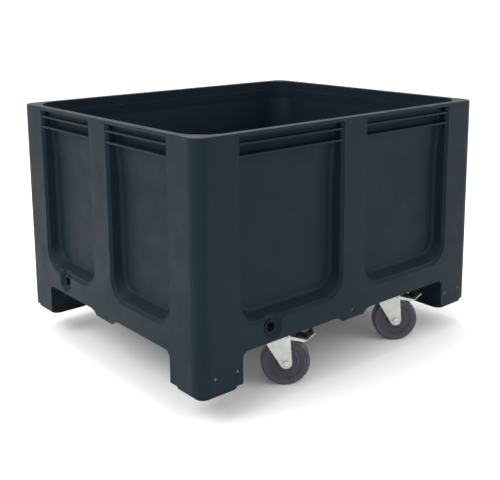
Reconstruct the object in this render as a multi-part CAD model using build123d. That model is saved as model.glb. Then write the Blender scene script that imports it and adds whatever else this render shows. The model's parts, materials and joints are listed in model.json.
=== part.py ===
from build123d import *
import os
from math import atan2, cos, sin

# A large rectangular plastic pallet bin that stands on four castors.
# The tub is one moulding: a tapered basin, hollow corner and middle posts, two recessed
# panels on each side, a ribbed floor and four hollow feet, each closed by a black pad.
# Frame: millimetres, +Z up, origin on the floor under the middle of the tub.
# The long sides face -Y (front) and +Y (rear); the short sides face -X (left) and +X (right).

# ---- tub: overall -------------------------------------------------------------------------
TUB_LENGTH = 1200.0
TUB_WIDTH = 1000.0
SIDE_HEIGHT = 620.0              # underside to the top of the rim
FOOT_DROP = 93.0                 # how far a foot reaches below the underside
WALL = 6.0
WHEEL_RADIUS = 75.0
WHEEL_ROOM = 40.0                # from a wheel's top to the tub's underside
CASTOR_HEIGHT = 2 * WHEEL_RADIUS + WHEEL_ROOM
CORNER_RADIUS = 40.0
UNDERSIDE_Z = CASTOR_HEIGHT
RIM_Z = UNDERSIDE_Z + SIDE_HEIGHT
FOOT_Z = UNDERSIDE_Z - FOOT_DROP

# ---- tub: basin ---------------------------------------------------------------------------
FLOOR_SKIN = 7.0
FLOOR_RIB_HEIGHT = 17.0
FLOOR_Z = UNDERSIDE_Z + FLOOR_RIB_HEIGHT + FLOOR_SKIN
PANEL_DEPTH = 42.0               # how far a panel is set back from the posts
RIB_ZONE_DEPTH = 20.0            # set-back above the upper rib
RIB_ZONE_INNER = 34.0            # set-back below the ledge, behind the lower rib
BASIN_INSET_FLOOR = PANEL_DEPTH + WALL + 4.0
BASIN_INSET_PANEL = PANEL_DEPTH + WALL
BASIN_INSET_TOP = RIB_ZONE_INNER + WALL
RIM_WIDTH = 26.0
LEDGE_DEPTH = 33.0               # the inner ledge lies this far below the rim
SLOPE_TOP_DROP = 69.0            # the panel's slope starts this far below the rim
SLOPE_BOTTOM_DROP = 172.0
BASIN_RADIUS = 80.0
BASIN_FLOOR_RADIUS = 18.0

# ---- tub: posts, bays and feet ------------------------------------------------------------
FOOT_LENGTH = 150.0              # along X, and the corner post's width on a long side
FOOT_WIDTH = 142.0               # along Y, and the corner post's width on a short side
MID_POST = 112.0
FOOT_ARCH_RADIUS = 20.0
BAY_BOTTOM = 72.0                # the panel's lower edge above the underside
BAY_CORNER = 62.0
BAY_SIDE_SLOPE = 9.0             # how far a bay's side walls lean in over its depth
BAY_BOTTOM_SLOPE = 24.0          # how far its lower wall climbs over its depth
BAY_MOUTH = 8.0                  # chamfer round the bay's mouth
BAY_FLOOR_FILLET = 12.0
RIM_FLANGE = 10.0
RIB_THICKNESS = 6.0
RIB_DROPS = (31.0, 65.0)         # rib centres below the rim
RIB_SETBACK = 1.5
SKID_DROP = 16.0                 # the middle of each side reaches this far below the underside
SKID_HALF_FLAT = 47.0
SKID_HALF_FOOT = 80.0
SKID_HOLE_RADIUS = 7.0
SKID_HOLE_RISE = 9.0
RIM_FILLET = 4.0

# ---- tub: drain outlets -------------------------------------------------------------------
DRAIN_RADIUS = 15.0
DRAIN_POCKET_RADIUS = 36.0
DRAIN_POCKET_DEPTH = 14.0
DRAIN_POCKET_TAPER = 50.0
DRAIN_LIP = (21.0, 4.0)          # radius and height of the raised ring round the outlet
DRAIN_RISE = DRAIN_RADIUS + 3.0  # bore's axis above the basin floor
DRAIN_FROM_POST = 112.0          # bore's axis from the corner post's edge

# ---- foot pads ----------------------------------------------------------------------------
PAD_DROP = 16.0                  # below the foot's outer walls
PAD_RISE = 15.0                  # the foot's inner walls stop this far above the outer ones
PAD_GAP = 0.5
PAD_OUTER_INSET = 9.0            # the pad is set in this far from the foot's outer faces
PAD_CORNER = 28.0
PAD_CHAMFER = 3.0
PLUG_HEIGHT = 54.0
PLUG_WALL = 6.0
PAD_SCREW_RISE = 43.0
PAD_SCREW_INSET = 52.0           # from the tub's end to the outer screw
PAD_SCREW_PITCH = 78.0
PAD_SCREW_RADIUS = 2.5
PAD_SCREW_HEAD = (4.2, 2.2)      # radius, height
PAD_SCREW_POCKET = (5.6, 2.6)
PAD_SCREW_LENGTH = 12.0

# ---- castors ------------------------------------------------------------------------------
CASTOR_FROM_FOOT = 195.0         # swivel axis from the foot's inner face, along X
CASTOR_FROM_SIDE = 100.0         # swivel axis from the tub's long side
CASTOR_X = TUB_LENGTH / 2 - FOOT_LENGTH - CASTOR_FROM_FOOT
CASTOR_Y = TUB_WIDTH / 2 - CASTOR_FROM_SIDE
TRAIL = 42.0
WHEEL_TOP = 2 * WHEEL_RADIUS
TYRE_WIDTH = 44.0
TYRE_THICKNESS = 21.0
TYRE_INNER = WHEEL_RADIUS - TYRE_THICKNESS
TYRE_SHOULDER = 7.0
HUB_RIM = 6.0
HUB_RIM_WIDTH = 38.0
HUB_WEB = 26.0
HUB_BOSS_RADIUS = 21.0
HUB_BOSS_WIDTH = 50.0
HUB_RIBS = 10
HUB_RIB_WIDTH = 4.0
HUB_RIB_SPAN = 32.0
SLEEVE_RADIUS = 9.0
AXLE_RADIUS = 5.0
AXLE_HEAD = (8.5, 6.0)           # across-flats radius, height
AXLE_NUT = (8.5, 8.0)
AXLE_END = 2.5                   # of the axle bolt past its nut
RUNNING = 0.05                   # radial clearance of a running fit
FORK_INSIDE = 54.0
FORK_SHEET = 3.0
CROWN_SHEET = 4.0
CROWN_RADIUS = 42.0
CROWN_DROP = 26.0                # crown's top below the castor's mounting face
LEG_FRONT = -16.0
LEG_BACK = 54.0
LEG_SHOULDER = WHEEL_RADIUS - 15.0   # leg's shoulders above the axle
LEG_TOE = 18.0
PLATE_SIZE = (105.0, 85.0, 4.0)
PLATE_CORNER = 10.0
PLATE_HOLES = (80.0, 60.0)
RACE_HEIGHT = 8.5
RACE_OUTER = 36.0
RACE_INNER = 20.0
RACE_LIP = (2.5, 5.0)            # width, height
UPPER_RACE_OUTER = 32.0
UPPER_RACE_INNER = 14.0
PIN_BOSS = 6.0                   # plate's thickness round the king pin, below the recess
PIN_RECESS = 11.0
RACE_GAP = 4.0                   # between the two race faces
BALL_RADIUS = 3.5
BALL_GROOVE = 3.55
BALL_PITCH_RADIUS = 26.0
BALL_COUNT = 16
KINGPIN_RADIUS = 6.0
KINGPIN_CAP = (9.0, 2.0)         # radius, height
KINGPIN_HEAD = (9.5, 7.0)        # across-flats radius, height
HEAD_GAP = 0.35
PLATE_SCREW_RADIUS = 4.0
PLATE_SCREW_HEAD = (6.5, 5.0)
PLATE_SCREW_REACH = 14.0
MOUNT_PAD = (140.0, 100.0)

# ---- brake on the front castors -----------------------------------------------------------
PIVOT_X = TRAIL + 5.0
PIVOT_Z = WHEEL_TOP + 4.5
PIVOT_RADIUS = 3.0
PIVOT_END = 3.0
BRAKE_TRAVEL = 12.0              # degrees, pedal tip down
LEVER_SHEET = 2.0
LEVER_OUTSIDE = 51.0
LEVER_TOP = WHEEL_TOP + 8.5
LEVER_EYE = 5.0
LEVER_START = 57.0
LEVER_KNEE = (106.0, WHEEL_TOP - 4.0)    # x, z
LEVER_TIP = (128.0, WHEEL_TOP + 17.0)
LEVER_FLANGE = 9.0
PEDAL_SHEET = 4.0
PEDAL_START = 80.0
PEDAL_END = 0.9                  # of the way from the lever's knee to its tip
PEDAL_WIDTH = 42.0
PEDAL_WINDOW = (112.0, 120.0, 16.0)  # from x, to x, width
SHOE_FROM = 60.0
SHOE_TO = 96.0
SHOE_WIDTH = 38.0
SHOE_GAP = 0.5
SPRING_WIRE = 0.9
SPRING_RADIUS = 3.75
SPRING_PITCH = 2.0
SPRING_TURNS = 5

CASTORS = {                      # swivel axis x, y and rest angle; at 0 degrees it trails to +X
    "front_left": (-CASTOR_X, -CASTOR_Y, -37.0),
    "front_right": (CASTOR_X, -CASTOR_Y, -37.0),
    "rear_left": (-CASTOR_X, CASTOR_Y, 20.0),
    "rear_right": (CASTOR_X, CASTOR_Y, 160.0),
}
BRAKED = ("front_left", "front_right")

AXLE_Z = WHEEL_RADIUS
CROWN_Z = CASTOR_HEIGHT - CROWN_DROP
LONG_BAY = (TUB_LENGTH - 2 * FOOT_LENGTH - MID_POST) / 2
SHORT_BAY = (TUB_WIDTH - 2 * FOOT_WIDTH - MID_POST) / 2
SIDES = {"front": LONG_BAY, "rear": LONG_BAY, "left": SHORT_BAY, "right": SHORT_BAY}


def block(x0, x1, y0, y1, z0, z1):
    """A plain box from its lowest to its highest corner."""
    return Pos((x0 + x1) / 2, (y0 + y1) / 2, (z0 + z1) / 2) * Box(x1 - x0, y1 - y0, z1 - z0)


def rod(radius, z0, z1):
    return Pos(0, 0, (z0 + z1) / 2) * Cylinder(radius, z1 - z0)


def tube(outer, inner, z0, z1):
    return rod(outer, z0, z1) - rod(inner, z0 - 1, z1 + 1)


def hexagon(flat_radius, z0, z1):
    return Pos(0, 0, z0) * extrude(RegularPolygon(flat_radius, 6, major_radius=False), z1 - z0)


def across(shape):
    """Turns a shape made along +Z so that it lies along +Y."""
    return Rot(-90, 0, 0) * shape


def outline_xz(points, y0, y1):
    """A closed outline of (x, z) points, extruded along Y from y0 to y1."""
    face = make_face(Polyline(*[(x, y0, z) for x, z in points], close=True))
    return extrude(face, y1 - y0, dir=(0, 1, 0))


# ---- tub ----------------------------------------------------------------------------------
def basin(grow=0.0):
    """The basin's hollow, or the same hollow with each wall pushed out by grow."""
    levels = [
        (FLOOR_Z - grow, BASIN_INSET_FLOOR),
        (RIM_Z - SLOPE_BOTTOM_DROP, BASIN_INSET_PANEL),
        (RIM_Z - SLOPE_TOP_DROP, BASIN_INSET_TOP),
        (RIM_Z - LEDGE_DEPTH + 0.01, BASIN_INSET_TOP),
    ]
    sections = [
        Pos(0, 0, z) * RectangleRounded(
            TUB_LENGTH - 2 * (inset - grow), TUB_WIDTH - 2 * (inset - grow), BASIN_RADIUS)
        for z, inset in levels
    ]
    hollow = None
    for low, high in zip(sections, sections[1:]):
        piece = loft([low, high], ruled=True)
        if hollow is None and grow == 0.0:
            piece = fillet(piece.faces().sort_by(Axis.Z)[0].edges(), BASIN_FLOOR_RADIUS)
        hollow = piece if hollow is None else hollow + piece
    mouth = RectangleRounded(
        TUB_LENGTH - 2 * (RIM_WIDTH - grow), TUB_WIDTH - 2 * (RIM_WIDTH - grow),
        BASIN_RADIUS + BASIN_INSET_TOP - RIM_WIDTH)
    return hollow + Pos(0, 0, RIM_Z - LEDGE_DEPTH) * extrude(mouth, LEDGE_DEPTH + 10)


def on_side(shape, side, along):
    """Moves a shape made on the plane y=0, facing -Y, to a side of the tub."""
    turn, reach = {
        "front": (0, TUB_WIDTH / 2), "right": (90, TUB_LENGTH / 2),
        "rear": (180, TUB_WIDTH / 2), "left": (-90, TUB_LENGTH / 2),
    }[side]
    return Rot(0, 0, turn) * Pos(along, -reach, 0) * shape


def bay_outline(half, low, high, radius, depth):
    """A bay's outline at one depth: square at the top, with two rounded corners below."""
    face = make_face(Polyline(
        (-half, depth, high), (-half, depth, low), (half, depth, low), (half, depth, high), close=True))
    return fillet(face.vertices().filter_by_position(Axis.Z, low - 1, low + 1), radius)


def bay(width):
    """The hollow of one recessed panel, as a solid behind the plane y=0."""
    low, high = UNDERSIDE_Z + BAY_BOTTOM, RIM_Z - RIM_FLANGE
    turn = RIM_Z - SLOPE_BOTTOM_DROP
    mouth = bay_outline(width / 2, low, high, BAY_CORNER, 0)
    panel = bay_outline(width / 2 - BAY_SIDE_SLOPE, low + BAY_BOTTOM_SLOPE, high, BAY_CORNER, PANEL_DEPTH)
    hollow = loft([mouth, panel], ruled=True)
    ledge = RIM_Z - LEDGE_DEPTH - WALL
    behind = make_face(Polyline(*[(-width, y, z) for y, z in (
        (PANEL_DEPTH + 1, turn), (PANEL_DEPTH, turn), (RIB_ZONE_INNER, RIM_Z - SLOPE_TOP_DROP),
        (RIB_ZONE_INNER, ledge), (RIB_ZONE_DEPTH, ledge), (RIB_ZONE_DEPTH, high + 5),
        (PANEL_DEPTH + 1, high + 5))], close=True))
    hollow -= extrude(behind, 2 * width, dir=(1, 0, 0))
    deep = hollow.faces().sort_by(Axis.Y)[-1]
    hollow = fillet([e for e in deep.edges() if e.center().Z < turn - 1], BAY_FLOOR_FILLET)
    flare = [
        bay_outline(width / 2 + BAY_MOUTH, low - BAY_MOUTH, high, BAY_CORNER + BAY_MOUTH, 0),
        bay_outline(width / 2, low, high, BAY_CORNER, BAY_MOUTH),
    ]
    return hollow + loft(flare, ruled=True)


def rib(width, drop):
    """One thin horizontal rib across a bay."""
    z = RIM_Z - drop
    back = (RIB_ZONE_INNER if drop > LEDGE_DEPTH else RIB_ZONE_DEPTH) + 1
    half = width / 2 + BAY_MOUTH + 1
    return block(-half, half, RIB_SETBACK, back,
                 z - RIB_THICKNESS / 2, z + RIB_THICKNESS / 2)


def shell():
    """The tub's outside: a rounded block on four feet, with a skid in the middle of each side."""
    outline = RectangleRounded(TUB_LENGTH, TUB_WIDTH, CORNER_RADIUS)
    body = Pos(0, 0, UNDERSIDE_Z) * extrude(outline, SIDE_HEIGHT)
    body = fillet(body.faces().sort_by(Axis.Z)[-1].edges(), RIM_FILLET)
    x, y = TUB_LENGTH / 2 - FOOT_LENGTH, TUB_WIDTH / 2 - FOOT_WIDTH
    legs = Pos(0, 0, FOOT_Z) * extrude(outline, FOOT_DROP)
    legs -= block(-x, x, -TUB_WIDTH, TUB_WIDTH, FOOT_Z - 1, UNDERSIDE_Z + 1)
    for pair in legs.solids():
        body += (pair - block(-TUB_LENGTH, TUB_LENGTH, -y, y, FOOT_Z - 1, UNDERSIDE_Z + 1)).solids()
    level = body.edges().filter_by_position(Axis.Z, UNDERSIDE_Z - 0.1, UNDERSIDE_Z + 0.1)
    arches = [e for e in level if e.length < FOOT_LENGTH + 1 and (
        abs(abs(e.center().X) - x) < 0.1 or abs(abs(e.center().Y) - y) < 0.1)]
    body = fillet(arches, FOOT_ARCH_RADIUS)
    for side in SIDES:
        body += on_side(skid(), side, 0)
    return body


def skid():
    """The flat bump under the middle of a side, with hollowed ends, behind the plane y=0."""
    run = SKID_HALF_FOOT - SKID_HALF_FLAT
    radius = (run ** 2 + SKID_DROP ** 2) / (2 * SKID_DROP)
    turn = atan2(run, radius - SKID_DROP) / 2
    mid_x, mid_z = SKID_HALF_FOOT - radius * sin(turn), UNDERSIDE_Z - radius * (1 - cos(turn))
    flat, foot = SKID_HALF_FLAT, SKID_HALF_FOOT
    low, high = UNDERSIDE_Z - SKID_DROP, UNDERSIDE_Z + FLOOR_SKIN
    outline = make_face([
        Line((-flat, 0, low), (flat, 0, low)),
        ThreePointArc((flat, 0, low), (mid_x, 0, mid_z), (foot, 0, UNDERSIDE_Z)),
        Line((foot, 0, UNDERSIDE_Z), (foot, 0, high)),
        Line((foot, 0, high), (-foot, 0, high)),
        Line((-foot, 0, high), (-foot, 0, UNDERSIDE_Z)),
        ThreePointArc((-foot, 0, UNDERSIDE_Z), (-mid_x, 0, mid_z), (-flat, 0, low)),
    ])
    return extrude(outline, BASIN_INSET_FLOOR, dir=(0, 1, 0))


def post_cores():
    """The hollows of the four feet with their corner posts, and of the four middle posts."""
    x1, y1 = TUB_LENGTH / 2 - WALL, TUB_WIDTH / 2 - WALL
    x0, y0 = TUB_LENGTH / 2 - FOOT_LENGTH + WALL, TUB_WIDTH / 2 - FOOT_WIDTH + WALL
    top = RIM_Z - LEDGE_DEPTH - WALL
    low = FOOT_Z - 5
    half = MID_POST / 2 - WALL
    cores = []
    for sx in (-1, 1):
        for sy in (-1, 1):
            xs, ys = sorted((sx * x0, sx * x1)), sorted((sy * y0, sy * y1))
            core = block(*xs, *ys, low, top)
            edge = core.edges().filter_by(Axis.Z).sort_by(
                lambda e: sx * e.center().X + sy * e.center().Y)[-1]
            cores.append(fillet(edge, CORNER_RADIUS - WALL))
    inner_x = TUB_LENGTH / 2 - BASIN_INSET_FLOOR
    inner_y = TUB_WIDTH / 2 - BASIN_INSET_FLOOR
    for s in (-1, 1):
        xs, ys = sorted((s * inner_x, s * x1)), sorted((s * inner_y, s * y1))
        cores.append(block(-half, half, *ys, low, top))
        cores.append(block(*xs, -half, half, low, top))
    return Compound(cores) - basin(WALL)


def band_cores():
    """Pockets in the deep bottom band under each panel, open downwards."""
    top = UNDERSIDE_Z + BAY_BOTTOM - WALL
    low = UNDERSIDE_Z - SKID_DROP - 5
    y1, y0 = -WALL, -(BASIN_INSET_FLOOR - WALL)
    cores = []
    for side, width in SIDES.items():
        count = 4 if side in ("front", "rear") else 3
        cell = width / count
        for s in (-1, 1):
            middle = s * (MID_POST + width) / 2
            for i in range(count):
                x = middle - width / 2 + (i + 0.5) * cell
                if abs(x - drain_place(side)) < cell / 2 + DRAIN_POCKET_RADIUS:
                    continue
                pocket = block(-cell / 2 + WALL / 2, cell / 2 - WALL / 2, -y1, -y0, low, top)
                cores.append(on_side(pocket, side, x))
    return cores


def floor_cells():
    """Pockets between the ribs under the basin floor, with a solid pad left for each castor."""
    low, top = UNDERSIDE_Z - SKID_DROP - 5, UNDERSIDE_Z + FLOOR_RIB_HEIGHT
    half_x = TUB_LENGTH / 2 - BASIN_INSET_FLOOR - WALL
    half_y = TUB_WIDTH / 2 - BASIN_INSET_FLOOR - WALL
    columns, rows = 8, 6
    dx, dy = 2 * half_x / columns, 2 * half_y / rows
    cells = []
    for i in range(columns):
        for j in range(rows):
            if i in (0, columns - 1) and j in (0, rows - 1):
                continue
            x, y = -half_x + i * dx, -half_y + j * dy
            cell = block(x + WALL / 2, x + dx - WALL / 2, y + WALL / 2, y + dy - WALL / 2, low, top)
            for cx, cy, angle in CASTORS.values():
                near = abs(x + dx / 2 - cx) < (dx + MOUNT_PAD[0]) / 2
                if near and abs(y + dy / 2 - cy) < (dy + MOUNT_PAD[1]) / 2:
                    cell = cell - block(cx - MOUNT_PAD[0] / 2, cx + MOUNT_PAD[0] / 2,
                                        cy - MOUNT_PAD[1] / 2, cy + MOUNT_PAD[1] / 2, low - 1, top + 1)
            cells.extend(cell.solids())
    return cells


def drain_place(side):
    """Where a side's outlet is, along the side."""
    if side in ("front", "rear"):
        return DRAIN_FROM_POST + FOOT_LENGTH - TUB_LENGTH / 2
    return DRAIN_FROM_POST + FOOT_WIDTH - TUB_WIDTH / 2


def drain_cut():
    """The scooped pocket below a panel with the outlet through it, as a solid to remove."""
    z = FLOOR_Z + DRAIN_RISE
    rise = UNDERSIDE_Z + BAY_BOTTOM + DRAIN_POCKET_RADIUS - z
    outline = Circle(DRAIN_POCKET_RADIUS) + Pos(0, -rise / 2) * Rectangle(2 * DRAIN_POCKET_RADIUS, rise)
    pocket = extrude(outline, DRAIN_POCKET_DEPTH, taper=DRAIN_POCKET_TAPER)
    pocket = Pos(0, 0, z) * Rot(-90, 0, 0) * pocket
    lip_radius, lip_height = DRAIN_LIP
    low, high = DRAIN_POCKET_DEPTH - lip_height, DRAIN_POCKET_DEPTH + 1
    lip = Pos(0, 0, z) * across(rod(lip_radius, low, high))
    bore = Pos(0, 0, z) * across(rod(DRAIN_RADIUS, 0, BASIN_INSET_FLOOR + WALL))
    return pocket - lip + bore


def castor_screws():
    """The four screws of one castor, round its swivel axis, from the heads up into the tub."""
    top = CASTOR_HEIGHT - PLATE_SIZE[2]
    radius, height = PLATE_SCREW_HEAD
    screw = rod(PLATE_SCREW_RADIUS, top, CASTOR_HEIGHT + PLATE_SCREW_REACH)
    screw += hexagon(radius, top - height, top)
    dx, dy = PLATE_HOLES[0] / 2, PLATE_HOLES[1] / 2
    return Compound([Pos(x, y) * screw for x in (-dx, dx) for y in (-dy, dy)])


def foot_middle(sx, sy):
    return sx * (TUB_LENGTH - FOOT_LENGTH) / 2, sy * (TUB_WIDTH - FOOT_WIDTH) / 2


def pad_screws(sx, sy):
    """The four screws of one foot: two through its outer long wall, two through its inner one."""
    z = FOOT_Z + PAD_SCREW_RISE
    first = TUB_LENGTH / 2 - PAD_SCREW_INSET
    outer = TUB_WIDTH / 2
    inner = outer - FOOT_WIDTH
    radius, height = PAD_SCREW_HEAD
    depth = PAD_SCREW_POCKET[1]
    screw = rod(PAD_SCREW_RADIUS, 0, PAD_SCREW_LENGTH) + rod(radius, -height, 0)
    screws = []
    for x in (first, first - PAD_SCREW_PITCH):
        for face, way in ((outer - depth, -1), (inner + depth, 1)):
            turn = Rot(-90 * way * sy, 0, 0)
            screws.append(Pos(sx * x, sy * face, z) * turn * screw)
    return Compound(screws)


def pad_screw_pockets(sx, sy):
    """The shallow pockets that take the screws' heads, as solids to remove."""
    z = FOOT_Z + PAD_SCREW_RISE
    first = TUB_LENGTH / 2 - PAD_SCREW_INSET
    radius, depth = PAD_SCREW_POCKET
    pockets = []
    for x in (first, first - PAD_SCREW_PITCH):
        for face, way in ((TUB_WIDTH / 2, -1), (TUB_WIDTH / 2 - FOOT_WIDTH, 1)):
            turn = Rot(-90 * way * sy, 0, 0)
            pockets.append(Pos(sx * x, sy * face, z) * turn * rod(radius, -1, depth))
    return pockets


def foot_pad(sx, sy):
    """The black cap under one foot, with a hollow plug that reaches up inside the foot."""
    x, y = foot_middle(sx, sy)
    low, step, top = FOOT_Z - PAD_DROP, FOOT_Z + PAD_RISE, FOOT_Z + PLUG_HEIGHT
    inset = PAD_OUTER_INSET
    plate = Pos(x - sx * inset / 2, y - sy * inset / 2, low) * extrude(
        RectangleRounded(FOOT_LENGTH - inset, FOOT_WIDTH - inset, PAD_CORNER), FOOT_Z - low)
    plate = chamfer(plate.faces().sort_by(Axis.Z)[0].edges(), PAD_CHAMFER)
    length, width = FOOT_LENGTH - 2 * WALL - 2 * PAD_GAP, FOOT_WIDTH - 2 * WALL - 2 * PAD_GAP
    plug = Pos(x, y, FOOT_Z - 1) * extrude(
        RectangleRounded(length, width, CORNER_RADIUS - WALL), top - FOOT_Z + 1)
    plug -= Pos(x, y, FOOT_Z - 4) * extrude(
        RectangleRounded(length - 2 * PLUG_WALL, width - 2 * PLUG_WALL, PAD_CORNER), top)
    kerb = block(0, FOOT_LENGTH, 0, FOOT_WIDTH, FOOT_Z, step - PAD_GAP)
    kerb -= block(WALL + PAD_GAP, FOOT_LENGTH, WALL + PAD_GAP, FOOT_WIDTH, FOOT_Z - 1, step + 1)
    kerb -= block(FOOT_LENGTH - inset - WALL, FOOT_LENGTH + 1, -1, FOOT_WIDTH + 1, FOOT_Z - 1, step + 1)
    kerb -= block(-1, FOOT_LENGTH + 1, FOOT_WIDTH - inset - WALL, FOOT_WIDTH + 1, FOOT_Z - 1, step + 1)
    kerb = Pos(TUB_LENGTH / 2 - FOOT_LENGTH, TUB_WIDTH / 2 - FOOT_WIDTH) * kerb
    if sx < 0:
        kerb = mirror(kerb, Plane.YZ)
    if sy < 0:
        kerb = mirror(kerb, Plane.XZ)
    return plate + plug + kerb - pad_screws(sx, sy)


def inner_wall_steps():
    """Cuts the inner walls of each foot shorter than its outer walls."""
    steps = []
    for sx in (-1, 1):
        for sy in (-1, 1):
            inner_x, outer_x = TUB_LENGTH / 2 - FOOT_LENGTH - 1, TUB_LENGTH / 2 - PAD_OUTER_INSET - WALL
            inner_y, outer_y = TUB_WIDTH / 2 - FOOT_WIDTH - 1, TUB_WIDTH / 2 - PAD_OUTER_INSET - WALL
            xs = sorted((sx * inner_x, sx * outer_x))
            ys = sorted((sy * inner_y, sy * outer_y))
            steps.append(block(*xs, *ys, FOOT_Z - 1, FOOT_Z + PAD_RISE))
    return steps


def tub():
    body = shell() - basin()
    cuts, ribs = [], []
    for side, width in SIDES.items():
        hollow = bay(width)
        for s in (-1, 1):
            along = s * (MID_POST + width) / 2
            cuts.append(on_side(hollow, side, along))
            ribs.extend(on_side(rib(width, drop), side, along) for drop in RIB_DROPS)
        cuts.append(on_side(drain_cut(), side, drain_place(side)))
    body = body - cuts + ribs
    cuts = band_cores() + floor_cells() + inner_wall_steps() + [post_cores()]
    for s in (-1, 1):
        hole = Pos(0, 0, UNDERSIDE_Z + SKID_HOLE_RISE) * across(rod(SKID_HOLE_RADIUS, -WALL - 1, 1))
        cuts.append(Rot(0, 0, 90 - 90 * s) * Pos(0, -TUB_WIDTH / 2 + WALL, 0) * hole)
        for sy in (-1, 1):
            cuts.extend(pad_screw_pockets(s, sy) + [pad_screws(s, sy)])
    for x, y, angle in CASTORS.values():
        cuts.append(Pos(x, y) * castor_screws())
    return body - cuts


# ---- castor, made with its swivel axis on x=y=0 and its wheel trailing to +X ------------------
def castor_plate():
    length, width, thick = PLATE_SIZE
    low = CASTOR_HEIGHT - thick
    plate = Pos(0, 0, low) * extrude(RectangleRounded(length, width, PLATE_CORNER), thick)
    race = CROWN_Z + RACE_HEIGHT + RACE_GAP
    plate += tube(UPPER_RACE_OUTER, UPPER_RACE_INNER, race, low + 1)
    plate += rod(UPPER_RACE_INNER, low - PIN_BOSS, low)
    plate -= rod(PIN_RECESS, low, CASTOR_HEIGHT + 1)
    plate -= rod(KINGPIN_RADIUS, race - 1, low + 1)
    plate -= ball_groove()
    return plate - castor_screws()


def ball_groove():
    z = CROWN_Z + RACE_HEIGHT + RACE_GAP / 2
    return Pos(0, 0, z) * Torus(BALL_PITCH_RADIUS, BALL_GROOVE)


def balls():
    z = CROWN_Z + RACE_HEIGHT + RACE_GAP / 2
    return Compound([
        Rot(0, 0, i * 360 / BALL_COUNT) * Pos(BALL_PITCH_RADIUS, 0, z) * Sphere(BALL_RADIUS)
        for i in range(BALL_COUNT)
    ])


def kingpin():
    low = CASTOR_HEIGHT - PLATE_SIZE[2]
    head_top = CROWN_Z - CROWN_SHEET - HEAD_GAP
    pin = rod(KINGPIN_RADIUS, head_top - 1, low)
    pin += rod(KINGPIN_CAP[0], low, low + KINGPIN_CAP[1])
    return pin + hexagon(KINGPIN_HEAD[0], head_top - KINGPIN_HEAD[1], head_top)


def leg(y0, y1):
    toe = Pos(TRAIL, AXLE_Z) * Circle(LEG_TOE)
    shoulder = AXLE_Z + LEG_SHOULDER
    top = Pos((LEG_FRONT + LEG_BACK) / 2, (shoulder + CROWN_Z) / 2) * Rectangle(
        LEG_BACK - LEG_FRONT, CROWN_Z - shoulder)
    outline = make_hull(toe.edges() + top.edges())
    return Pos(0, y0, 0) * Rot(90, 0, 0) * extrude(outline, -(y1 - y0))


def fork(braked):
    inside, outside = FORK_INSIDE / 2, FORK_INSIDE / 2 + FORK_SHEET
    body = rod(CROWN_RADIUS, CROWN_Z - CROWN_SHEET, CROWN_Z)
    body += block(LEG_FRONT, LEG_BACK, -outside, outside, CROWN_Z - CROWN_SHEET, CROWN_Z)
    body += leg(-outside, -inside) + leg(inside, outside)
    lip_width, lip_height = RACE_LIP
    race_top = CROWN_Z + RACE_HEIGHT
    body += tube(RACE_OUTER, RACE_INNER, CROWN_Z - 1, race_top)
    body += tube(RACE_OUTER, RACE_OUTER - lip_width, race_top - 1, race_top + lip_height)
    body -= ball_groove()
    body -= rod(KINGPIN_RADIUS + RUNNING, CROWN_Z - CROWN_SHEET - 1, CROWN_Z + 1)
    body -= Pos(TRAIL, 0, AXLE_Z) * across(rod(AXLE_RADIUS, -outside - 1, outside + 1))
    if braked:
        body -= Pos(PIVOT_X, 0, PIVOT_Z) * across(rod(PIVOT_RADIUS, -outside - 1, outside + 1))
    return body


def axle():
    outside = FORK_INSIDE / 2 + FORK_SHEET
    radius, height = AXLE_HEAD
    bolt = rod(AXLE_RADIUS, -outside - 1, outside + AXLE_NUT[1] + AXLE_END)
    bolt += hexagon(radius, -outside - height, -outside)
    return Pos(TRAIL, 0, AXLE_Z) * across(bolt)


def axle_nut():
    outside = FORK_INSIDE / 2 + FORK_SHEET
    radius, height = AXLE_NUT
    nut = hexagon(radius, outside, outside + height) - rod(AXLE_RADIUS, outside - 1, outside + height + 1)
    return Pos(TRAIL, 0, AXLE_Z) * across(nut)


def axle_sleeve():
    half = FORK_INSIDE / 2
    return Pos(TRAIL, 0, AXLE_Z) * across(tube(SLEEVE_RADIUS, AXLE_RADIUS, -half, half))


def wheel_hub():
    outer = TYRE_INNER
    half = HUB_RIM_WIDTH / 2
    hub = tube(outer, outer - HUB_RIM, -half, half)
    hub += rod(outer - 1, -HUB_WEB / 2, HUB_WEB / 2)
    rib_length = outer - HUB_RIM / 2
    ribs = block(0, rib_length, -HUB_RIB_WIDTH / 2, HUB_RIB_WIDTH / 2, -HUB_RIB_SPAN / 2, HUB_RIB_SPAN / 2)
    hub += [Rot(0, 0, i * 360 / HUB_RIBS) * ribs for i in range(HUB_RIBS)]
    hub += rod(HUB_BOSS_RADIUS, -HUB_BOSS_WIDTH / 2, HUB_BOSS_WIDTH / 2)
    hub -= rod(SLEEVE_RADIUS + RUNNING, -HUB_BOSS_WIDTH, HUB_BOSS_WIDTH)
    return Pos(TRAIL, 0, AXLE_Z) * across(hub)


def tyre():
    ring = tube(WHEEL_RADIUS, TYRE_INNER, -TYRE_WIDTH / 2, TYRE_WIDTH / 2)
    tread = [e for e in ring.edges() if e.geom_type == GeomType.CIRCLE and e.radius > WHEEL_RADIUS - 1]
    ring = fillet(tread, TYRE_SHOULDER)
    return Pos(TRAIL, 0, AXLE_Z) * across(ring)


# ---- brake ----------------------------------------------------------------------------------
def lever_height(x):
    """Height of the lever's upper face between its start and its knee."""
    knee_x, knee_z = LEVER_KNEE
    return LEVER_TOP + (knee_z - LEVER_TOP) * (x - LEVER_START) / (knee_x - LEVER_START)


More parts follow.
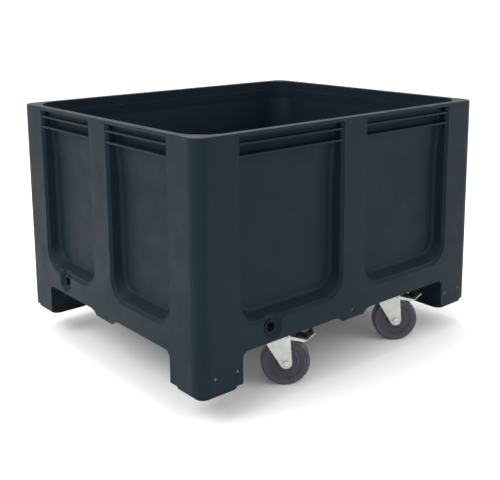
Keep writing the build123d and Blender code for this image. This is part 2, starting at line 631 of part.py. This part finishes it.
def brake_lever():
    """A bent channel over the wheel, pivoted between the fork's legs, in its released position."""
    half = LEVER_OUTSIDE / 2
    knee_x, knee_z = LEVER_KNEE
    tip_x, tip_z = LEVER_TIP
    flange = outline_xz([
        (PIVOT_X, LEVER_TOP - 1), (LEVER_START, LEVER_TOP - 1), (LEVER_START, LEVER_TOP),
        (knee_x, knee_z), (knee_x - LEVER_FLANGE, lever_height(knee_x - LEVER_FLANGE) - LEVER_FLANGE),
        (PIVOT_X, PIVOT_Z - LEVER_EYE)], half - LEVER_SHEET, half)
    flange += Pos(PIVOT_X, 0, PIVOT_Z) * across(rod(LEVER_EYE, half - LEVER_SHEET, half))
    plate = outline_xz([
        (LEVER_START, LEVER_TOP), (knee_x, knee_z), (tip_x, tip_z),
        (tip_x + LEVER_SHEET, tip_z - LEVER_SHEET), (knee_x + LEVER_SHEET / 2, knee_z - LEVER_SHEET),
        (LEVER_START, LEVER_TOP - LEVER_SHEET)], -half, half)
    body = plate + flange + mirror(flange, Plane.XZ)
    return body - Pos(PIVOT_X, 0, PIVOT_Z) * across(rod(PIVOT_RADIUS + RUNNING, -half - 1, half + 1))


def brake_pedal():
    """The dark cover on the lever, bent up with it towards the tip, with a window."""
    half = PEDAL_WIDTH / 2
    knee_x, knee_z = LEVER_KNEE
    start = lever_height(PEDAL_START)
    end_x = knee_x + PEDAL_END * (LEVER_TIP[0] - knee_x)
    end_z = knee_z + PEDAL_END * (LEVER_TIP[1] - knee_z)
    cover = outline_xz([
        (PEDAL_START, start), (knee_x, knee_z), (end_x, end_z),
        (end_x - PEDAL_SHEET / 2, end_z + PEDAL_SHEET), (knee_x - 2, knee_z + PEDAL_SHEET + 1),
        (PEDAL_START, start + PEDAL_SHEET)], -half, half)
    x0, x1, width = PEDAL_WINDOW
    return cover - block(x0, x1, -width / 2, width / 2, knee_z - 1, end_z + PEDAL_SHEET + 1)


def brake_shoe():
    """The block under the lever; at full travel its curved face meets the tyre."""
    half = SHOE_WIDTH / 2
    shoe = outline_xz([
        (SHOE_FROM, lever_height(SHOE_FROM) - LEVER_SHEET), (SHOE_TO, lever_height(SHOE_TO) - LEVER_SHEET),
        (SHOE_TO, AXLE_Z), (SHOE_FROM, AXLE_Z)], -half, half)
    pressed = Pos(TRAIL, 0, AXLE_Z) * across(rod(WHEEL_RADIUS + SHOE_GAP, -SHOE_WIDTH, SHOE_WIDTH))
    return shoe - about_pivot(pressed, -BRAKE_TRAVEL)


def about_pivot(shape, degrees):
    """Turns a shape about the brake's pivot; a positive angle presses the pedal's tip down."""
    return Pos(PIVOT_X, 0, PIVOT_Z) * Rot(0, degrees, 0) * Pos(-PIVOT_X, 0, -PIVOT_Z) * shape


def brake_pin():
    end = FORK_INSIDE / 2 + FORK_SHEET + PIVOT_END
    return Pos(PIVOT_X, 0, PIVOT_Z) * across(rod(PIVOT_RADIUS, -end, end))


def brake_spring():
    """A torsion spring round the pivot pin, resting against the lever's plate."""
    height = SPRING_PITCH * SPRING_TURNS
    path = Helix(SPRING_PITCH, height, SPRING_RADIUS)
    wire = sweep(Plane(path @ 0, z_dir=path % 0) * Circle(SPRING_WIRE / 2), path, is_frenet=True)
    return Pos(PIVOT_X, -height / 2, PIVOT_Z) * across(wire)


def main():
    os.makedirs("parts", exist_ok=True)
    parts = {"tub": tub()}
    for name, sx, sy in (("front_left", -1, -1), ("front_right", 1, -1),
                         ("rear_left", -1, 1), ("rear_right", 1, 1)):
        parts[f"foot_pad_{name}"] = foot_pad(sx, sy)
        parts[f"foot_pad_screws_{name}"] = pad_screws(sx, sy)
        x, y, angle = CASTORS[name]
        fixed = {"plate": castor_plate(), "screws": castor_screws(), "kingpin": kingpin(), "balls": balls()}
        turning = {
            "fork": fork(name in BRAKED), "axle": axle(), "axle_nut": axle_nut(),
            "axle_sleeve": axle_sleeve(), "wheel_hub": wheel_hub(), "tyre": tyre(),
        }
        if name in BRAKED:
            turning["brake_lever"] = brake_lever()
            turning["brake_pedal"] = brake_pedal()
            turning["brake_shoe"] = brake_shoe()
            turning["brake_pin"] = brake_pin()
            turning["brake_spring"] = brake_spring()
        for piece, shape in fixed.items():
            parts[f"castor_{name}_{piece}"] = Pos(x, y) * shape
        for piece, shape in turning.items():
            parts[f"castor_{name}_{piece}"] = Pos(x, y) * Rot(0, 0, angle) * shape
    for name, shape in parts.items():
        export_step(shape, f"parts/{name}.step")


main()
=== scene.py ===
# %% [markdown]
# # A large bin on castors
# The bin is one dark moulded tub, about the size of a pallet, on four feet and four castors.
# The engineering model already holds every real part at its real size. Here we load it as a
# fixed frame and give it looks: finishes for every part, finer wheels and rivets where it is
# plain, and softened edges on the pressed steel and the pads.

# %% Load the frame
import bpy
import json
import math
from mathutils import Matrix, Vector


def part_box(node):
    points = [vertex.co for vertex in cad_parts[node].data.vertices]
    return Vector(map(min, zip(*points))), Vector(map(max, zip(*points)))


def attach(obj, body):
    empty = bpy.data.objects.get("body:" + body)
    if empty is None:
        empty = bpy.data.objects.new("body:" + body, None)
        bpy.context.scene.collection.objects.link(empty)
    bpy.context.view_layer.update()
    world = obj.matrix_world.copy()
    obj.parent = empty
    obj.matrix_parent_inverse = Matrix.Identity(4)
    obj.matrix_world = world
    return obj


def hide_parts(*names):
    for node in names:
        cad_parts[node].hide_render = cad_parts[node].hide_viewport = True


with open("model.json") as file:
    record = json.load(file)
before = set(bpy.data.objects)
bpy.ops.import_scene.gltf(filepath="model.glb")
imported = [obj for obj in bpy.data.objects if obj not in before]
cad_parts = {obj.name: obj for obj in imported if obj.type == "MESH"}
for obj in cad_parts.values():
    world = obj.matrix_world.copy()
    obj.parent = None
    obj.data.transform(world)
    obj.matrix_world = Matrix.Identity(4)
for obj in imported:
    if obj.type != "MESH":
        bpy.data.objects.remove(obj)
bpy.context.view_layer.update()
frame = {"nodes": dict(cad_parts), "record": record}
nodes = frame["nodes"]
joints = {joint["name"]: joint for joint in frame["record"]["behaviour"]["joints"]}
CASTORS = ("front_left", "front_right", "rear_left", "rear_right")
bpy.ops.object.select_all(action="DESELECT")

# %% [markdown]
# ## Helpers for finishes
# Every finish here is a Principled shader. What makes it look real is slow variation of the
# colour, uneven gloss and a fine bump, all made from noise on the object's own coordinates, so
# the pattern stays on the part when a wheel or pedal turns.

# %% Small helpers for shader nodes
def new_finish(name, roughness, metallic=0.0):
    """A material with its Principled shader, its links and its object coordinates."""
    material = bpy.data.materials.new(name)
    material.use_nodes = True
    tree = material.node_tree
    shader = tree.nodes["Principled BSDF"]
    shader.inputs["Roughness"].default_value = roughness
    shader.inputs["Metallic"].default_value = metallic
    where = tree.nodes.new("ShaderNodeTexCoord").outputs["Object"]
    return material, tree, shader, where


def noise(tree, where, scale, detail=4.0, rough=0.5):
    """A noise texture's value. A scale of 100 gives specks of about a centimetre."""
    texture = tree.nodes.new("ShaderNodeTexNoise")
    texture.inputs["Scale"].default_value = scale
    texture.inputs["Detail"].default_value = detail
    texture.inputs["Roughness"].default_value = rough
    tree.links.new(where, texture.inputs["Vector"])
    return texture.outputs["Fac"]


def spread(tree, value, low, high, start=0.35, end=0.65):
    """Maps a noise value onto a range of numbers."""
    node = tree.nodes.new("ShaderNodeMapRange")
    node.inputs["From Min"].default_value = start
    node.inputs["From Max"].default_value = end
    node.inputs["To Min"].default_value = low
    node.inputs["To Max"].default_value = high
    tree.links.new(value, node.inputs["Value"])
    return node.outputs["Result"]


def two_colours(tree, value, dark, light, start=0.35, end=0.65):
    """A colour that drifts between two shades as the value changes."""
    ramp = tree.nodes.new("ShaderNodeValToRGB")
    ramp.color_ramp.elements[0].position = start
    ramp.color_ramp.elements[0].color = (*dark, 1)
    ramp.color_ramp.elements[1].position = end
    ramp.color_ramp.elements[1].color = (*light, 1)
    tree.links.new(value, ramp.inputs["Fac"])
    return ramp.outputs["Color"]


def grain(tree, shader, value, strength, distance):
    """A bump from a value; the distance is how high the bump stands, in metres."""
    bump = tree.nodes.new("ShaderNodeBump")
    bump.inputs["Strength"].default_value = strength
    bump.inputs["Distance"].default_value = distance
    tree.links.new(value, bump.inputs["Height"])
    tree.links.new(bump.outputs["Normal"], shader.inputs["Normal"])
    return bump


def stretched(tree, where, x, y, z):
    """Coordinates squeezed along each axis, so that noise becomes brushed lines."""
    mapping = tree.nodes.new("ShaderNodeMapping")
    mapping.inputs["Scale"].default_value = (x, y, z)
    tree.links.new(where, mapping.inputs["Vector"])
    return mapping.outputs["Vector"]


print("helpers ready")

# %% [markdown]
# ## The tub's plastic
# The tub is dark blue-grey polyethylene. New from the mould it is satin, with a fine leathery
# grain, and its large faces are never quite flat: slow waves show in the highlights. Three
# noises do this: one over the colour, one over the gloss, and two sizes of bump.

# %% Finish: moulded polyethylene
def moulded_plastic(name, dark, light, roughness, speck):
    material, tree, shader, where = new_finish(name, roughness)
    drift = noise(tree, where, 3.0, 5.0)
    tree.links.new(two_colours(tree, drift, dark, light, 0.3, 0.7), shader.inputs["Base Color"])
    gloss = noise(tree, where, 14.0, 6.0, 0.6)
    tree.links.new(spread(tree, gloss, roughness - 0.05, roughness + 0.07), shader.inputs["Roughness"])
    fine = grain(tree, shader, noise(tree, where, speck, 3.0, 0.6), 0.22, 0.0005)
    slow = tree.nodes.new("ShaderNodeBump")
    slow.inputs["Strength"].default_value = 0.18
    slow.inputs["Distance"].default_value = 0.004
    tree.links.new(noise(tree, where, 5.0, 2.0), slow.inputs["Height"])
    tree.links.new(slow.outputs["Normal"], fine.inputs["Normal"])
    shader.inputs["Specular IOR Level"].default_value = 0.15
    shader.inputs["Specular Tint"].default_value = (0.50, 0.78, 1.0, 1)
    return material


tub_plastic = moulded_plastic("Tub plastic", (0.0046, 0.0088, 0.0128), (0.0057, 0.0106, 0.0150), 0.50, 900.0)
pad_plastic = moulded_plastic("Pad plastic", (0.0030, 0.0028, 0.0030), (0.0060, 0.0055, 0.0056), 0.40, 1200.0)
print("made", tub_plastic.name, "and", pad_plastic.name)

# %% [markdown]
# ## Plated steel, dark paint and rubber
# The castors are pressed steel with a bright zinc coat: pale, softly mirrored, with a faint
# cloudy pattern and fine lines from rolling. The tyres are grey-violet solid rubber, matt, with
# a little dust.

# %% Finish: zinc plated steel
def zinc_plate(name, dark, light, roughness):
    material, tree, shader, where = new_finish(name, roughness, 0.9)
    cloud = noise(tree, where, 45.0, 6.0, 0.65)
    tree.links.new(two_colours(tree, cloud, dark, light), shader.inputs["Base Color"])
    patch = noise(tree, where, 110.0, 4.0)
    tree.links.new(spread(tree, patch, roughness - 0.07, roughness + 0.10), shader.inputs["Roughness"])
    lines = noise(tree, stretched(tree, where, 60.0, 60.0, 900.0), 3.0, 2.0)
    grain(tree, shader, lines, 0.10, 0.0002)
    return material


zinc = zinc_plate("Zinc plated steel", (0.44, 0.45, 0.42), (0.52, 0.53, 0.50), 0.42)
bright = zinc_plate("Bright fastener steel", (0.42, 0.43, 0.44), (0.62, 0.63, 0.64), 0.26)
# The pad screws get a much darker steel than the other fasteners, so their heads show dark with only a small
# glint.
dark_screw_steel = zinc_plate("Dark screw steel", (0.060, 0.062, 0.065), (0.150, 0.152, 0.156), 0.34)

# %% Finish: solid rubber and the hub's plastic
def solid_rubber(name, dark, light, roughness):
    material, tree, shader, where = new_finish(name, roughness)
    dust = noise(tree, where, 30.0, 8.0, 0.7)
    tree.links.new(two_colours(tree, dust, dark, light), shader.inputs["Base Color"])
    tree.links.new(spread(tree, noise(tree, where, 70.0), roughness - 0.08, roughness + 0.08),
                   shader.inputs["Roughness"])
    grain(tree, shader, noise(tree, where, 1500.0, 2.0), 0.25, 0.0003)
    shader.inputs["Specular IOR Level"].default_value = 0.4
    return material


rubber = solid_rubber("Grey tyre rubber", (0.034, 0.030, 0.043), (0.052, 0.046, 0.064), 0.46)
hub_plastic = solid_rubber("Hub plastic", (0.030, 0.027, 0.040), (0.046, 0.041, 0.058), 0.42)
shoe_rubber = solid_rubber("Brake shoe rubber", (0.012, 0.012, 0.013), (0.022, 0.021, 0.022), 0.6)

# %% Finish: dark pedal cover
def dark_cover(name):
    material, tree, shader, where = new_finish(name, 0.38)
    wear = noise(tree, where, 90.0, 5.0)
    black, worn = (0.006, 0.006, 0.007), (0.014, 0.014, 0.015)
    tree.links.new(two_colours(tree, wear, black, worn), shader.inputs["Base Color"])
    tree.links.new(spread(tree, noise(tree, where, 160.0), 0.3, 0.5), shader.inputs["Roughness"])
    grain(tree, shader, noise(tree, where, 1000.0, 2.0), 0.2, 0.0002)
    return material


pedal_black = dark_cover("Black pedal cover")
print("finishes:", [m.name for m in bpy.data.materials if m.name != "Material_0"][:12])

# %% [markdown]
# ## Dressing the parts of the frame
# Most parts are already the right shape, so they keep their mesh and get a finish. Pressed and
# moulded parts never have knife-sharp edges: a narrow bevel modifier softens those of the steel
# parts and the pads, which is what catches the light along an edge.

# %% Give each part its finish
def finish_for(name):
    """Which finish a part of the frame has, from its name."""
    if name == "tub":
        return tub_plastic
    if name.startswith("foot_pad_screws"):
        return dark_screw_steel
    if name.startswith("foot_pad"):
        return pad_plastic
    endings = {"_tyre": rubber, "_wheel_hub": hub_plastic, "_brake_pedal": pedal_black,
               "_brake_shoe": shoe_rubber, "_plate": zinc, "_fork": zinc, "_brake_lever": zinc}
    for ending, finish in endings.items():
        if name.endswith(ending):
            return finish
    return bright


def soften(obj, width, segments=2):
    """Welds the split corners of an imported part and rounds its edges a little."""
    weld = obj.modifiers.new("Join corners", "WELD")
    weld.merge_threshold = 0.00001
    bevel = obj.modifiers.new("Soft edges", "BEVEL")
    bevel.width = width
    bevel.segments = segments
    bevel.limit_method = "ANGLE"
    bevel.angle_limit = math.radians(32)
    bevel.harden_normals = False


for name, obj in nodes.items():
    obj.data.materials.clear()
    obj.data.materials.append(finish_for(name))
print("dressed", len(nodes), "parts")

# %% [markdown]
# ## Wheels
# Each wheel is a solid rubber tyre round a plastic hub. Its side is turned into rings: a round
# shoulder, a flat band, a fine raised ring, then a shallow dish down to the boss. We model one
# tyre and one hub lying flat, from cylinders, by insetting the end faces and pushing them in or
# out ring by ring. Then each castor gets its own copy, stood up on its axle.

# %% Helpers for modelling by hand
def add_cylinder(name, radius, depth, sides=96):
    """A cylinder round Z at the origin, left in edit mode with nothing selected."""
    bpy.ops.object.select_all(action="DESELECT")
    bpy.ops.mesh.primitive_cylinder_add(vertices=sides, radius=radius, depth=depth)
    obj = bpy.context.object
    obj.name = name
    bpy.ops.object.mode_set(mode="EDIT")
    bpy.ops.mesh.select_mode(type="FACE")
    bpy.ops.mesh.select_all(action="DESELECT")
    return obj


def pick_faces(obj, test):
    """Selects only the faces whose centre and normal pass the test."""
    bpy.ops.object.mode_set(mode="OBJECT")
    for thing in list(obj.data.vertices) + list(obj.data.edges) + list(obj.data.polygons):
        thing.select = False
    for face in obj.data.polygons:
        face.select = bool(test(face.center, face.normal))
    bpy.ops.object.mode_set(mode="EDIT")
    bpy.ops.mesh.select_mode(type="FACE")


def turn_rings(obj, side, rings):
    """Shapes one end, from the rim inwards: each ring is an inset and a push outwards."""
    pick_faces(obj, lambda centre, normal: normal.z * side > 0.9 and centre.xy.length < 0.001)
    for inset, push in rings:
        bpy.ops.mesh.inset(thickness=inset, use_boundary=True, use_even_offset=True)
        if push:
            bpy.ops.transform.translate(value=(0, 0, side * push))


def leave_edit(obj, angle=35):
    """Back to object mode, with smooth shading except over sharp edges."""
    bpy.ops.mesh.select_all(action="SELECT")
    bpy.ops.mesh.normals_make_consistent(inside=False)
    bpy.ops.object.mode_set(mode="OBJECT")
    bpy.ops.object.shade_smooth_by_angle(angle=math.radians(angle))
    return obj


print("modelling helpers ready")

# %% Sizes of the wheel, read from the frame
low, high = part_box("castor_front_left_tyre")
WHEEL_RADIUS = (high[2] - low[2]) / 2
hub_low, hub_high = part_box("castor_front_left_wheel_hub")
HUB_RADIUS = (hub_high[2] - hub_low[2]) / 2
TYRE_HALF = 0.022
HUB_WIDTH = 0.038
print("wheel radius", round(WHEEL_RADIUS, 4), "hub radius", round(HUB_RADIUS, 4))

# %% Model one tyre
def model_tyre():
    tyre = add_cylinder("Tyre", WHEEL_RADIUS, TYRE_HALF * 2, 128)
    bpy.ops.mesh.select_mode(type="EDGE")
    bpy.ops.mesh.select_all(action="DESELECT")
    bpy.ops.mesh.edges_select_sharp(sharpness=math.radians(60))
    bpy.ops.mesh.bevel(offset=0.0075, segments=6, profile=0.5, affect="EDGES")
    for side in (1, -1):
        turn_rings(tyre, side, [(0.0012, 0.0), (0.0008, -0.0006), (0.0030, 0.0), (0.0008, -0.0008),
                                (0.0045, -0.0006), (0.0010, 0.0008), (0.0010, -0.0008), (0.0004, -0.0004)])
    bpy.ops.mesh.select_all(action="DESELECT")
    pick_faces(tyre, lambda centre, normal: abs(normal.z) > 0.9 and centre.xy.length < 0.001)
    bpy.ops.mesh.inset(thickness=0.0004)
    bpy.ops.mesh.delete(type="FACE")
    bpy.ops.mesh.select_mode(type="EDGE")
    bpy.ops.mesh.select_all(action="DESELECT")
    bpy.ops.mesh.select_non_manifold()
    bpy.ops.mesh.bridge_edge_loops()
    return leave_edit(tyre, 50)


tyre_model = model_tyre()
inner = min(v.co.xy.length for v in tyre_model.data.vertices)
print("tyre faces", len(tyre_model.data.polygons), "bore radius", round(inner, 4))

# %% Model one hub
def model_hub(radius):
    """The hub's disc: a lip at the tyre, a shallow dish and a raised boss."""
    hub = add_cylinder("Wheel hub", radius, HUB_WIDTH, 96)
    for side in (1, -1):
        turn_rings(hub, side, [(0.0030, 0.0), (0.0015, -0.0022), (0.0040, -0.0004), (0.0008, 0.0009),
                               (0.0012, 0.0), (0.0008, -0.0009), (0.0090, -0.0002), (0.0012, -0.0016),
                               (0.0070, 0.0), (0.0015, 0.0050), (0.0006, 0.0010), (0.0060, 0.0)])
    return leave_edit(hub, 30)


hub_model = model_hub(inner)
print("hub faces", len(hub_model.data.polygons))

# %% Ribs round the hub's boss
def model_ribs(count, start, end, width, half):
    """Short ribs that run out from the boss, one block copied round both faces' dish."""
    bpy.ops.object.select_all(action="DESELECT")
    bpy.ops.mesh.primitive_cube_add(size=1, location=((start + end) / 2, 0, 0),
                                    scale=(end - start, width, half * 2))
    rib = bpy.context.object
    rib.name = "Hub ribs"
    bpy.ops.object.transform_apply(location=True, rotation=True, scale=True)
    bpy.ops.object.mode_set(mode="EDIT")
    bpy.ops.mesh.select_all(action="SELECT")
    bpy.ops.mesh.bevel(offset=0.0005, segments=2, affect="EDGES")
    step = 2 * math.pi / count
    for _ in range(count - 1):
        bpy.ops.mesh.duplicate()
        bpy.ops.transform.rotate(value=step, orient_axis="Z", center_override=(0, 0, 0))
    return leave_edit(rib, 30)


RIB_COUNT = 20
RIB_START, RIB_END = 0.0225, 0.0300
RIB_WIDTH, RIB_HALF = 0.0016, 0.0165
rib_model = model_ribs(RIB_COUNT, RIB_START, RIB_END, RIB_WIDTH, RIB_HALF)
print("ribs", len(rib_model.data.polygons))

# %% Put a wheel on each castor
def stand_on_axle(model, name, joint, body):
    """A copy of a wheel piece, turned from Z onto the joint's axis, with its place in the mesh."""
    copy = model.copy()
    copy.data = model.data.copy()
    copy.name = name
    bpy.context.collection.objects.link(copy)
    axis = Vector(joint["axis"]).normalized()
    turn = Vector((0, 0, 1)).rotation_difference(axis).to_matrix().to_4x4()
    copy.data.transform(Matrix.Translation(joint["pos_m"]) @ turn)
    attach(copy, body)
    return copy


for castor in CASTORS:
    roll = joints[castor + "_roll"]
    body = castor + "_wheel"
    tyre = stand_on_axle(tyre_model, castor + "_tyre_look", roll, body)
    tyre.data.materials.append(rubber)
    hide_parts(f"castor_{castor}_tyre")
    hub = stand_on_axle(hub_model, castor + "_hub_look", roll, body)
    hub.data.materials.append(hub_plastic)
    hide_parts(f"castor_{castor}_wheel_hub")
    ribs = stand_on_axle(rib_model, castor + "_hub_ribs", roll, body)
    ribs.data.materials.append(hub_plastic)
for model in (tyre_model, hub_model, rib_model):
    bpy.data.objects.remove(model)
print("wheels on", len(CASTORS), "castors")

# %% [markdown]
# ## Rivets on the forks
# Beside each axle a small domed rivet closes the pressed leg. It is a short cylinder whose outer
# face is inset and pushed out twice, so that it swells to a dome. One is modelled lying flat and
# copied to both legs of each fork, just in front of the axle.

# %% Rivets
FORK_HALF = 0.030
RIVET_AHEAD = 0.0125
RIVET_RISE = 0.003
RIVET_GAP = 0.0005
RIVET_RADIUS, RIVET_HEIGHT = 0.0034, 0.0016


def model_rivet():
    rivet = add_cylinder("Rivet", RIVET_RADIUS, RIVET_HEIGHT, 32)
    pick_faces(rivet, lambda centre, normal: normal.z > 0.9)
    for inset, push in ((0.0007, 0.0006), (0.0010, 0.0004), (0.0009, 0.0001)):
        bpy.ops.mesh.inset(thickness=inset)
        bpy.ops.transform.translate(value=(0, 0, push))
    return leave_edit(rivet, 50)


def place_rivet(castor, side):
    """A rivet on the left or right leg, its dome outwards."""
    swivel, roll = joints[castor + "_swivel"], joints[castor + "_roll"]
    axis = Vector(roll["axis"]).normalized() * side
    centre = Vector(roll["pos_m"])
    ahead = Vector(swivel["pos_m"]) - centre
    ahead.z = 0
    place = centre + ahead.normalized() * RIVET_AHEAD
    place += axis * (FORK_HALF + RIVET_GAP) + Vector((0, 0, RIVET_RISE))
    rivet = rivet_model.copy()
    rivet.data = rivet_model.data.copy()
    rivet.name = f"{castor}_rivet_{'left' if side > 0 else 'right'}"
    bpy.context.collection.objects.link(rivet)
    turn = Vector((0, 0, 1)).rotation_difference(axis).to_matrix().to_4x4()
    rivet.data.transform(Matrix.Translation(place) @ turn)
    rivet.data.materials.append(bright)
    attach(rivet, castor + "_fork")
    return rivet


rivet_model = model_rivet()
rivets = [place_rivet(castor, side) for castor in CASTORS for side in (1, -1)]
bpy.data.objects.remove(rivet_model)
print("placed", len(rivets), "rivets")

# %% [markdown]
# ## Softer edges on the steel
# Forks, plates, levers, pedals, axles, nuts and pads keep the frame's shape and get a bevel.

# %% Bevels
STEEL_BEVEL = 0.0008
PAD_BEVEL = 0.0015
for name, obj in nodes.items():
    if name.endswith(("_fork", "_plate", "_brake_lever", "_brake_pedal", "_axle", "_axle_nut")):
        soften(obj, STEEL_BEVEL)
    elif name.startswith("foot_pad_") and "screws" not in name:
        soften(obj, PAD_BEVEL)
print("edges softened")

# %% [markdown]
# ## Floor, light and camera
# A plain white floor that runs out of sight, a broad soft light on the left, a weaker one on
# the right, one overhead, and a bright even surround, so the dark plastic shows its shape by
# soft reflections.

# %% Floor
bpy.ops.object.select_all(action="DESELECT")
bpy.ops.mesh.primitive_plane_add(size=60, location=(0, 0, -0.0005))
floor = bpy.context.object
floor.name = "Studio floor"
white, tree, shader, where = new_finish("Studio white", 0.9)
tree.links.new(two_colours(tree, noise(tree, where, 0.7), (0.90, 0.90, 0.90), (0.92, 0.92, 0.92)),
               shader.inputs["Base Color"])
shader.inputs["Specular IOR Level"].default_value = 0.1
floor.data.materials.append(white)

# %% Lights
def soft_light(name, place, aim, size, power):
    data = bpy.data.lights.new(name, "AREA")
    data.shape = "SQUARE"
    data.size = size
    data.energy = power
    light = bpy.data.objects.new(name, data)
    bpy.context.collection.objects.link(light)
    light.location = place
    light.rotation_euler = (Vector(aim) - Vector(place)).to_track_quat("-Z", "Y").to_euler()
    return light


soft_light("Key light", (-3.6, 0.4, 3.4), (0, 0, 0.4), 2.4, 120)
soft_light("Fill light", (2.6, -3.6, 2.6), (0, 0, 0.4), 3.0, 30)
soft_light("Top light", (0.3, 0.6, 4.6), (0, 0, 0.6), 2.6, 70)
world = bpy.data.worlds.new("Studio surround")
world.use_nodes = True
world.node_tree.nodes["Background"].inputs["Color"].default_value = (1.0, 1.0, 1.0, 1)
world.node_tree.nodes["Background"].inputs["Strength"].default_value = 1.3
bpy.context.scene.world = world
print("three lights and a white surround")

# %% Camera
camera_data = bpy.data.cameras.new("Camera")
camera = bpy.data.objects.new("Camera", camera_data)
bpy.context.collection.objects.link(camera)
camera.location = (-1.8168, -2.1536, 1.1612)
right = Vector((0.7629, -0.6465, -0.0072))
up = Vector((0.1231, 0.1343, 0.9833))
back = Vector((-0.6347, -0.7510, 0.1820))
camera.rotation_mode = "QUATERNION"
camera.rotation_quaternion = Matrix((right, up, back)).transposed().to_quaternion()
camera_data.lens = 59.06
camera_data.sensor_width = 36
camera_data.shift_y = -0.18
camera_data.clip_end = 100
bpy.context.scene.camera = camera
bpy.context.scene.view_settings.view_transform = "Standard"
print("camera at", [round(v, 3) for v in camera.location])
